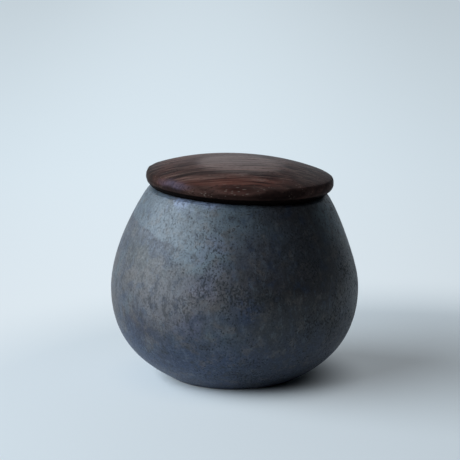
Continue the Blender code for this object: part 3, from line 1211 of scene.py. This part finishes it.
@dataclass(frozen=True)
class Silicone:
    """Moulded clear silicone of the seal, which the eye sees as milky grey."""

    name: str = "moulded_silicone"
    colour: str = "#a9aaa4"
    ior: float = 1.41
    subsurface: float = 0.25
    subsurface_mm: float = 1.0
    bloom: Unevenness = Unevenness("bloom", 4.0, 3.0)
    roughness: Ramp = Ramp("bloom", 0.3, 0.7, 0.55, 0.42)

    def build(self) -> bpy.types.Material:
        """Build the silicone.

        Returns:
            The material.
        """
        material, shader, place = start_material(self.name)
        tree = material.node_tree
        bloom = self.bloom.lay(tree, place)
        rough = add_node(tree, "ShaderNodeMapRange", None, self.roughness.inputs({"bloom": bloom}))
        surface = {"Base Color": linear(self.colour), "Roughness": rough, "IOR": self.ior}
        milk = {"Subsurface Weight": self.subsurface, "Subsurface Scale": self.subsurface_mm * MM}
        feed(tree, shader, surface | milk)
        return material


@dataclass(frozen=True)
class Mouth:
    """The pot's mouth, whose plane leans down towards +X."""

    height: float = 83.9 * MM
    radius: float = 38.5 * MM
    lip_width: float = 5.6 * MM
    lean_deg: float = 2.7
    shift: float = 1.7 * MM
    seat_gap: float = 0.3 * MM

    @property
    def bore_radius(self) -> float:
        """Radius of the bore inside the lip."""
        return self.radius - self.lip_width

    def placement(self, part: float = 1.0) -> Matrix:
        """Placement of the mouth, or of a ring below it that leans a part as much."""
        turn = Matrix.Rotation(math.radians(self.lean_deg) * part, 4, "Y")
        return Matrix.Translation((self.shift * part, 0.0, self.height)) @ turn


@dataclass
class ThrownPot:
    """The pot, thrown in one piece, trimmed on its foot and glazed."""

    mouth: Mouth
    belly_radius: float = 55.0 * MM
    belly_height: float = 40.3 * MM
    foot_radius: float = 28.0 * MM
    foot_angle_deg: float = 30.0
    shoulder_angle_deg: float = 49.0
    foot_pull_share: float = 0.33
    belly_pull_low_share: float = 0.667
    belly_pull_high_share: float = 0.362
    shoulder_pull_share: float = 0.072
    wall_thickness: float = 5.0 * MM
    floor_thickness: float = 5.5 * MM
    foot_ring_width: float = 5.2 * MM
    foot_recess_depth: float = 1.8 * MM
    foot_edge_round: float = 0.7 * MM
    wiped_margin: float = 0.3 * MM
    floor_flat_share: float = 0.70
    floor_pull_share: float = 0.53
    chest_pull_share: float = 0.47
    throat_angle_deg: float = 52.0
    throat_pull_share: float = 0.12
    throat_round: float = 0.9 * MM
    bore_height: float = 3.2 * MM
    lip_round_outside: float = 1.7 * MM
    lip_round_inside: float = 1.4 * MM
    straight_depth: float = 9.0 * MM
    wall_steps: int = 84
    floor_steps: int = 16
    recess_steps: int = 14
    lip_tinge: float = 0.7
    finger_groove_share: float = 7.0
    marks: TurningMarks = TurningMarks(
        ridge_spacing=5.2 * MM,
        ridge_depth=0.03 * MM,
        ridge_wander=1.6,
        wear_depth=0.12 * MM,
        wear_size=28 * MM,
        seed=3,
    )

    def inside(self, outline: Outline) -> None:
        """Add the inside, from the middle of the floor up to the throat.

        Args:
            outline: the pot's section so far.
        """
        floor = self.foot_recess_depth + self.floor_thickness
        flat_radius = self.foot_radius * self.floor_flat_share
        inner_radius = self.belly_radius - self.wall_thickness
        flat_edge = Vector((flat_radius, floor))
        widest = Vector((inner_radius, self.belly_height))
        throat_height = self.mouth.height - self.lip_round_inside - self.bore_height
        throat = Vector((self.mouth.bore_radius, throat_height))
        below_throat = throat - slope(self.throat_angle_deg) * self.throat_round
        above_throat = throat + Vector((0, self.throat_round))
        rise = self.belly_height - floor
        chest = throat.y - self.belly_height
        middle = Vector((0, floor))
        outline.add([middle])
        outline.add(straight(middle, flat_edge, self.floor_steps), ridge=self.finger_groove_share)
        wall = bezier(
            flat_edge,
            Vector(((inner_radius - flat_radius) * self.floor_pull_share, 0)),
            Vector((0, -rise * self.floor_pull_share)),
            widest,
            self.wall_steps // 2,
        )
        wall += bezier(
            widest,
            Vector((0, chest * self.chest_pull_share)),
            -slope(self.throat_angle_deg) * chest * self.throat_pull_share,
            below_throat,
            self.wall_steps // 2,
        )
        outline.add(wall[:-2], ridge=self.finger_groove_share)
        outline.add(rounded(below_throat, throat, above_throat, self.throat_round))

    def lip(self, outline: Outline) -> None:
        """Add the lip, from the bore to the outside of the wall.

        Args:
            outline: the pot's section so far.
        """
        inner = Vector((self.mouth.bore_radius, self.mouth.height))
        outer = Vector((self.mouth.radius, self.mouth.height))
        below_inner = inner - Vector((0, self.lip_round_inside))
        below_outer = outer - slope(self.shoulder_angle_deg) * self.lip_round_outside
        round_inside = rounded(below_inner, inner, outer, self.lip_round_inside)
        outline.add(round_inside, tinge=self.lip_tinge)
        outline.add(rounded(inner, outer, below_outer, self.lip_round_outside))

    def outside(self, outline: Outline) -> None:
        """Add the outside, from below the lip down to the foot's edge.

        Args:
            outline: the pot's section so far.
        """
        outer = Vector((self.mouth.radius, self.mouth.height))
        start = outer - slope(self.shoulder_angle_deg) * self.lip_round_outside
        widest = Vector((self.belly_radius, self.belly_height))
        foot = Vector((self.foot_radius, 0))
        foot_angle = math.radians(self.foot_angle_deg)
        foot_way = Vector((math.cos(foot_angle), math.sin(foot_angle)))
        foot_top = foot + foot_way * self.foot_edge_round
        chest = start.y - self.belly_height
        wall = bezier(
            start,
            -slope(self.shoulder_angle_deg) * chest * self.shoulder_pull_share,
            Vector((0, chest * self.belly_pull_high_share)),
            widest,
            self.wall_steps,
        )
        wall += bezier(
            widest,
            Vector((0, -self.belly_height * self.belly_pull_low_share)),
            foot_way * (self.belly_radius - self.foot_radius) * self.foot_pull_share,
            foot_top,
            self.wall_steps,
        )
        outline.add(wall[:-1], ridge=1.0, wear=1.0)
        foot_inner = foot - Vector((self.foot_edge_round, 0))
        outline.add(rounded(foot_top, foot, foot_inner, self.foot_edge_round), tinge=1.0)

    def underside(self, outline: Outline) -> None:
        """Add the bare foot ring and the recess inside it.

        Args:
            outline: the pot's section so far.
        """
        wiped = Vector((self.foot_radius - self.foot_edge_round - self.wiped_margin, 0))
        recess_radius = self.foot_radius - self.foot_ring_width
        ring_edge = Vector((recess_radius, 0))
        recess_edge = Vector((recess_radius - self.foot_recess_depth, self.foot_recess_depth))
        middle = Vector((0, self.foot_recess_depth))
        bend = rounded(ring_edge, recess_edge, middle, self.foot_recess_depth / 2)
        outline.add([wiped, ring_edge] + bend, second_finish=1.0)
        outline.add(straight(bend[-1], middle, self.recess_steps), ridge=1.0, second_finish=1.0)

    def lean(self, mesh: bpy.types.Mesh) -> None:
        """Lean the top of the wall, so that the lip lies in the mouth's plane.

        Args:
            mesh: the turned pot, which is changed.
        """
        straight_from = self.mouth.height - self.straight_depth
        up = Vector((0, 0, self.mouth.height))
        for vertex in mesh.vertices:
            way = clamped((vertex.co.z - self.belly_height) / (straight_from - self.belly_height))
            part = way * way * (3 - 2 * way)
            if part:
                vertex.co = self.mouth.placement(part) @ (vertex.co - up)

    def make(self, lathe: Lathe) -> bpy.types.Object:
        """Make the pot and set it on its body.

        Args:
            lathe: the tree that turns outlines.

        Returns:
            The pot.
        """
        outline = Outline()
        self.inside(outline)
        self.lip(outline)
        self.outside(outline)
        self.underside(outline)
        piece = lathe.turn("pot_glazed_body", outline, self.marks, IronGlaze().build(), BareClay().build())
        self.lean(piece.data)
        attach(piece, Body.POT.value)
        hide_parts("pot_body")
        return piece


@dataclass
class LidPlug:
    """The plug that hangs in the mouth, with a groove for the ring."""

    mouth: Mouth
    clearance: float = 1.8 * MM
    depth: float = 9.0 * MM
    let_in: float = 2.0 * MM
    edge_round: float = 1.4 * MM
    groove_depth: float = 1.9 * MM
    groove_height: float = 4.4 * MM
    groove_drop: float = 1.0 * MM
    end_steps: int = 150
    edge_wear: float = 0.6
    marks: TurningMarks = TurningMarks(
        ridge_spacing=1.3 * MM,
        ridge_depth=0.05 * MM,
        ridge_wander=0.3,
        wear_depth=0.1 * MM,
        wear_size=8 * MM,
        seed=17,
    )

    @property
    def radius(self) -> float:
        """Radius of the plug."""
        return self.mouth.bore_radius - self.clearance

    @property
    def groove_middle(self) -> float:
        """Height of the middle of the groove, from the top of the lip."""
        return -(self.groove_drop + self.groove_height / 2)

    def outline(self) -> Outline:
        """Section of the plug, with heights from the top of the lip.

        Returns:
            The outline.
        """
        groove_radius = self.radius - self.groove_depth
        groove_top = self.groove_middle + self.groove_height / 2
        groove_bottom = self.groove_middle - self.groove_height / 2
        groove_end = Vector((self.radius, groove_bottom))
        corner = Vector((self.radius, -self.depth))
        middle = Vector((0, -self.depth))
        edge = rounded(groove_end, corner, middle, self.edge_round)
        outline = Outline()
        outline.add([Vector((0, self.let_in)), Vector((self.radius, self.let_in))])
        outline.add([Vector((self.radius, groove_top)), Vector((groove_radius, groove_top))])
        outline.add([Vector((groove_radius, groove_bottom)), groove_end])
        outline.add(edge, wear=self.edge_wear)
        outline.add(straight(edge[-1], middle, self.end_steps), ridge=1.0)
        return outline

    def make(self, lathe: Lathe) -> bpy.types.Object:
        """Make the plug and set it on its body.

        Args:
            lathe: the tree that turns outlines.

        Returns:
            The plug.
        """
        bare = Walnut(Cut.BARE).build()
        piece = lathe.turn("lid_turned_plug", self.outline(), self.marks, bare)
        piece.data.transform(self.mouth.placement())
        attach(piece, Body.LID.value)
        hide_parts("lid_plug")
        return piece


@dataclass
class TurnedLid:
    """The domed lid, with the recess that its plug is glued into."""

    mouth: Mouth
    plug: LidPlug
    overhang: float = 2.9 * MM
    crease_inset: float = 0.7 * MM
    band_height: float = 4.4 * MM
    band_pull_share: float = 0.35
    bevel_height: float = 2.7 * MM
    bevel_inset: float = 3.0 * MM
    bevel_round: float = 1.3 * MM
    seat_round: float = 0.4 * MM
    crease_round: float = 0.35 * MM
    dome_rise: float = 6.49 * MM
    dome_power: float = 2.4
    dome_steps: int = 90
    band_steps: int = 24
    crease_steps: int = 3
    # Painted shade: the band from this step down, the corner and the bevel darken under the overhang
    painted_shade_from_step: int = 20
    corner_painted_shade_steps: int = 6
    band_wear: float = 0.6
    corner_wear: float = 0.5
    band_painted_shade: float = 0.1
    corner_painted_shade: float = 0.35
    bevel_painted_shade: float = 0.97
    off_centre: float = 0.4 * MM
    marks: TurningMarks = TurningMarks(
        ridge_spacing=0.9 * MM,
        ridge_depth=0.006 * MM,
        ridge_wander=0.4,
        wear_depth=0.22 * MM,
        wear_size=9 * MM,
        seed=11,
    )

    def outline(self) -> Outline:
        """Section of the lid, with heights from the top of the lip.

        Shade is painted low on the band and, darkest, on the bevel under it.

        Returns:
            The outline.
        """
        gap = self.mouth.seat_gap
        radius = self.mouth.radius + self.overhang
        bevel_top = Vector((radius, gap + self.bevel_height))
        bevel_end = Vector((radius - self.bevel_inset, gap))
        crease = Vector((radius - self.crease_inset, bevel_top.y + self.band_height))
        band_end = bevel_top + Vector((0, self.bevel_round))
        pull = self.band_height * self.band_pull_share
        down = Vector((self.crease_inset, -pull))
        band = bezier(crease, down, Vector((0, pull)), band_end, self.band_steps)
        dome = []
        for step in range(self.dome_steps):
            share = step / self.dome_steps
            height = self.dome_rise * (1 - share**self.dome_power)
            dome.append(Vector((crease.x * share, crease.y + height)))
        dry, oiled, shaded_corner_steps = self.crease_steps, self.painted_shade_from_step, self.corner_painted_shade_steps
        corner = rounded(band_end, bevel_top, bevel_end, self.bevel_round)
        outline = Outline()
        outline.add(dome[:-dry], ridge=1.0)
        outline.add(rounded(dome[-dry], crease, band[dry - 1], self.crease_round), wear=1.0)
        outline.add(band[dry:oiled], wear=self.band_wear)
        # Painted shade from here down: light low on the band, more on the corner, darkest on the bevel and
        # seat
        outline.add(band[oiled:-1], wear=self.band_wear, tinge=self.band_painted_shade)
        outline.add(corner[:shaded_corner_steps], wear=self.corner_wear, tinge=self.corner_painted_shade)
        outline.add(corner[shaded_corner_steps:], tinge=self.bevel_painted_shade)
        outline.add(rounded(bevel_top, bevel_end, Vector((0, gap)), self.seat_round), tinge=1.0)
        recess_radius = self.plug.radius + gap
        recess_top = gap + self.plug.let_in
        recess = [Vector((recess_radius, gap)), Vector((recess_radius, recess_top)), Vector((0, recess_top))]
        outline.add(recess)
        return outline

    def set_off_centre(self, mesh: bpy.types.Mesh) -> None:
        """Set the dome and the band a little off the middle of the seat.

        Args:
            mesh: the turned lid, which is changed.
        """
        for vertex in mesh.vertices:
            if vertex.co.xy.length > self.mouth.bore_radius or vertex.co.z > self.bevel_height:
                way = clamped((vertex.co.z - self.mouth.seat_gap) / self.bevel_height)
                vertex.co.x += self.off_centre * way

    def make(self, lathe: Lathe) -> bpy.types.Object:
        """Make the lid and set it on its body.

        Args:
            lathe: the tree that turns outlines.

        Returns:
            The lid.
        """
        oiled = Walnut(Cut.OILED).build()
        piece = lathe.turn("lid_domed_cap", self.outline(), self.marks, oiled)
        self.set_off_centre(piece.data)
        piece.data.transform(self.mouth.placement())
        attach(piece, Body.LID.value)
        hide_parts("lid_cap")
        return piece


@dataclass
class SealRing:
    """The soft ring: a band in the plug's groove with two lips."""

    plug: LidPlug
    band: float = 1.2 * MM
    lip_spacing: float = 1.9 * MM
    lip_root: float = 1.1 * MM
    lip_tip: float = 0.6 * MM
    lip_rise: float = 0.5 * MM
    edge_round: float = 0.25 * MM
    tip_steps: int = 5
    marks: TurningMarks = TurningMarks()

    def lip(self, height: float, root_radius: float, tip_radius: float) -> list[Vector]:
        """Section of one thin lip, which slants up to the bore.

        Args:
            height: height of the lip's root.
            root_radius: radius where it leaves the band.
            tip_radius: radius of its tip.

        Returns:
            The points, from above the root round the tip to below it.
        """
        tip = Vector((tip_radius, height + self.lip_rise))
        back = self.lip_tip / 2
        upper = tip + Vector((-back, back))
        lower = tip + Vector((-back, -back))
        points = [Vector((root_radius, height + self.lip_root / 2)), upper]
        out, up = Vector((back / 2, 0)), Vector((0, back / 2))
        points += bezier(upper, out, up, tip, self.tip_steps)
        points += bezier(tip, -up, out, lower, self.tip_steps)
        return points + [Vector((root_radius, height - self.lip_root / 2))]

    def outline(self) -> Outline:
        """Section of the ring, with heights from the top of the lip.

        Returns:
            The outline.
        """
        plug = self.plug
        gap = plug.mouth.seat_gap
        inner = plug.radius - plug.groove_depth + gap
        band_radius = inner + self.band
        tip_radius = plug.mouth.bore_radius - gap
        middle = plug.groove_middle
        top = middle + plug.groove_height / 2 - gap
        bottom = middle - plug.groove_height / 2 + gap
        corners = [
            Vector((inner, top)),
            Vector((band_radius, top)),
            Vector((band_radius, middle)),
            Vector((band_radius, bottom)),
            Vector((inner, bottom)),
        ]
        outline = Outline()
        outline.add(rounded(corners[0], corners[1], corners[2], self.edge_round))
        for side in (1, -1):
            outline.add(self.lip(middle + side * self.lip_spacing / 2, band_radius, tip_radius))
        around = corners[2:] + corners[:2]
        for before, corner, after in zip(around, around[1:], around[2:]):
            outline.add(rounded(before, corner, after, self.edge_round))
        return outline

    def make(self, lathe: Lathe) -> bpy.types.Object:
        """Make the ring and set it on its body.

        Args:
            lathe: the tree that turns outlines.

        Returns:
            The ring.
        """
        piece = lathe.turn("lid_seal_ring", self.outline(), self.marks, Silicone().build(), closed=True)
        piece.data.transform(self.plug.mouth.placement())
        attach(piece, Body.SEAL.value)
        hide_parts("seal_ring")
        return piece


@dataclass
class Studio:
    """A pale floor, one large window-like lamp on the left and a dim room."""

    camera_place: tuple[float, float, float] = (-0.00203, -0.9548, 0.2597)
    camera_pitch_deg: float = 11.502
    camera_reach: float = 50.0
    focal_pixels: float = 2200.0
    sensor_mm: float = 36.0
    lamp_place: tuple[float, float, float] = (-1.12, -0.29, 0.70)
    lamp_aim: tuple[float, float, float] = (0.0, 0.0, 0.04)
    lamp_size: tuple[float, float] = (1.9, 1.05)
    lamp_power: float = 37.0
    lamp_colour: str = "#eaf3fb"
    floor_radius: float = 6.0
    floor_sides: int = 96
    floor_near: str = "#e1e9ed"
    floor_shine: str = "#e1ebf2"
    floor_far: str = "#dfedf6"
    floor_roughness: float = 0.9
    floor_specular: float = 0.1
    floor_change: Ramp = Ramp("Y", -0.1, 0.7)
    glow_middle: tuple[float, float, float] = (0.06, -0.06, 0.0)
    glow: Ramp = Ramp("distance", 0.12, 0.26, 0.9)
    shade_middle: tuple[float, float, float] = (0.0, 0.0, 0.0)
    shade_glow: Ramp = Ramp("distance", 0.03, 0.062, 0.3)
    glow_fall_back: Ramp = Ramp("Y", 0.5, 1.7, 0.91, 1.0)
    glow_fall_right: Ramp = Ramp("X", -0.04, 0.27, 0.82, 1.0)
    glow_fall_left: Ramp = Ramp("X", -0.06, -0.27, 0.9, 1.0)
    backdrop: str = "#dbe8f0"
    room_bright: str = "#dbe6ee"
    room_dark: str = "#15171a"
    bright_way: tuple[float, float, float] = (-0.6, 0.8, 0.0)
    bright_side: Ramp = Ramp("towards", -0.3, 0.8)
    bright_height: Ramp = Ramp("Z", 0.42, 0.54, 0.0, 1.0)
    room_fill: Ramp = Ramp("Is Diffuse Ray", 0.0, 1.0, 0.15, 1.0)
    window_way: tuple[float, float, float] = (0.1, 0.995, 0.0)
    rear_window: Ramp = Ramp("behind", 0.88, 0.98, 1.1, 1.0)

    def camera(self) -> None:
        """Set the camera where the photograph was taken from."""
        data = bpy.data.cameras.new("camera")
        data.sensor_width = self.sensor_mm
        data.lens = self.focal_pixels / PHOTO_PIXELS * self.sensor_mm
        data.clip_end = self.camera_reach
        camera = bpy.data.objects.new("camera", data)
        camera.location = self.camera_place
        camera.rotation_euler = (math.radians(90 - self.camera_pitch_deg), 0.0, 0.0)
        bpy.context.scene.collection.objects.link(camera)
        bpy.context.scene.camera = camera

    def lamp(self) -> None:
        """Hang the lamp and point it at the pot."""
        data = bpy.data.lights.new("window_lamp", "AREA")
        data.shape = "RECTANGLE"
        data.size, data.size_y = self.lamp_size
        data.energy = self.lamp_power
        data.color = linear(self.lamp_colour)[:3]
        lamp = bpy.data.objects.new("window_lamp", data)
        way = Vector(self.lamp_aim) - Vector(self.lamp_place)
        lamp.location = self.lamp_place
        lamp.rotation_euler = way.to_track_quat("-Z", "Y").to_euler()
        bpy.context.scene.collection.objects.link(lamp)

    def floor(self) -> None:
        """Lay the floor, a disc that keeps the pot's shadow."""
        sides = self.floor_sides
        bpy.ops.mesh.primitive_circle_add(vertices=sides, radius=self.floor_radius, fill_type="NGON")
        floor = bpy.context.object
        floor.name = "floor"
        material, shader, place = start_material("pale_plaster_floor")
        tree = material.node_tree
        parts = add_node(tree, "ShaderNodeSeparateXYZ", None, {0: place}).outputs
        far = add_node(tree, "ShaderNodeMapRange", SMOOTH, self.floor_change.inputs(parts))
        colour = lay_tones(tree, self.floor_near, ((self.floor_far, "far"),), {"far": far})
        dull = {"Roughness": self.floor_roughness, "Specular IOR Level": self.floor_specular}
        feed(tree, shader, {"Base Color": colour, **dull})
        shine = lay_tones(tree, self.floor_shine, ((self.floor_far, "far"),), {"far": far})
        strength = self.glow_strength(tree, parts)
        glow = add_node(tree, "ShaderNodeEmission", None, {"Color": shine, "Strength": strength})
        share = self.glow_share(tree, place)
        mixed = add_node(tree, "ShaderNodeMixShader", None, {0: share, 1: shader, 2: glow})
        feed(tree, tree.nodes["Material Output"], {"Surface": mixed})
        floor.data.materials.append(material)

    def glow_share(self, tree: bpy.types.NodeTree, place: bpy.types.NodeSocket) -> bpy.types.Node:
        """How much of the floor's pale glow is seen, least in the shadow.

        Args:
            tree: the floor's nodes.
            place: Object coordinates.

        Returns:
            The node that gives the share, which is 0 for the light on the pot.
        """
        path = add_node(tree, "ShaderNodeLightPath").outputs
        seen = path["Is Camera Ray"]
        for ray in ("Is Glossy Ray", "Is Transmission Ray"):
            seen = add_node(tree, "ShaderNodeMath", {"operation": "MAXIMUM"}, {0: seen, 1: path[ray]})
        lifted = 0.0
        for middle, ramp in ((self.glow_middle, self.glow), (self.shade_middle, self.shade_glow)):
            apart = add_node(tree, "ShaderNodeVectorMath", {"operation": "DISTANCE"}, {0: place, 1: middle})
            away = ramp.inputs({"distance": apart.outputs["Value"]})
            amount = add_node(tree, "ShaderNodeMapRange", SMOOTH, away)
            lifted = add_node(tree, "ShaderNodeMath", {"operation": "MAXIMUM"}, {0: lifted, 1: amount})
        return add_node(tree, "ShaderNodeMath", {"operation": "MULTIPLY"}, {0: seen, 1: lifted})

    def glow_strength(self, tree: bpy.types.NodeTree, parts: bpy.types.NodeOutputs) -> bpy.types.Node:
        """How bright the floor's glow is, which falls off to the back and sides.

        Args:
            tree: the floor's nodes.
            parts: the X, Y and Z of Object coordinates.

        Returns:
            The node that gives the strength.
        """
        strength = add_node(tree, "ShaderNodeMapRange", None, self.glow_fall_back.inputs(parts))
        for side in (self.glow_fall_right, self.glow_fall_left):
            fall = add_node(tree, "ShaderNodeMapRange", SMOOTH, side.inputs(parts))
            strength = add_node(tree, "ShaderNodeMath", {"operation": "MULTIPLY"}, {0: strength, 1: fall})
        return strength

    def room(self) -> None:
        """Light the rest of the room: bright behind and left, dim in front."""
        world = bpy.data.worlds.new("room")
        bpy.context.scene.world = world
        world.use_nodes = True
        tree = world.node_tree
        way = add_node(tree, "ShaderNodeTexCoord").outputs["Generated"]
        path = add_node(tree, "ShaderNodeLightPath").outputs
        facing = {}
        for name, axis in (("towards", self.bright_way), ("behind", self.window_way)):
            along = add_node(tree, "ShaderNodeVectorMath", {"operation": "DOT_PRODUCT"}, {0: way, 1: axis})
            facing[name] = along.outputs["Value"]
        side = add_node(tree, "ShaderNodeMapRange", SMOOTH, self.bright_side.inputs(facing))
        parts = add_node(tree, "ShaderNodeSeparateXYZ", None, {0: way}).outputs
        low = add_node(tree, "ShaderNodeMapRange", SMOOTH, self.bright_height.inputs(parts))
        lit = add_node(tree, "ShaderNodeMath", {"operation": "MULTIPLY"}, {0: side, 1: low})
        layers = ((self.room_bright, "lit"), (self.backdrop, "seen"))
        colour = lay_tones(tree, self.room_dark, layers, {"lit": lit, "seen": path["Is Camera Ray"]})

        fill = add_node(tree, "ShaderNodeMapRange", None, self.room_fill.inputs(path))
        window = add_node(tree, "ShaderNodeMapRange", SMOOTH, self.rear_window.inputs(facing))
        total = add_node(tree, "ShaderNodeMath", {"operation": "MULTIPLY"}, {0: fill, 1: window})
        showing = {0: path["Is Camera Ray"], 2: total, 3: 1.0}
        shown = add_node(tree, "ShaderNodeMix", {"data_type": "FLOAT"}, showing)
        feed(tree, tree.nodes["Background"], {"Color": colour, "Strength": shown})

    def build(self) -> None:
        """Set up camera, lamp, floor and room."""
        self.camera()
        self.lamp()
        self.floor()
        self.room()
        bpy.context.scene.view_settings.view_transform = "Standard"


def main() -> None:
    """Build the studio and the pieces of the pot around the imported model."""
    logging.basicConfig(level=logging.INFO, format="%(name)s: %(message)s")
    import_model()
    Studio().build()
    mouth = Mouth()
    lathe = Lathe()
    ThrownPot(mouth).make(lathe)
    plug = LidPlug(mouth)
    TurnedLid(mouth, plug).make(lathe)
    plug.make(lathe)
    SealRing(plug).make(lathe)


if __name__ == "__main__":
    main()
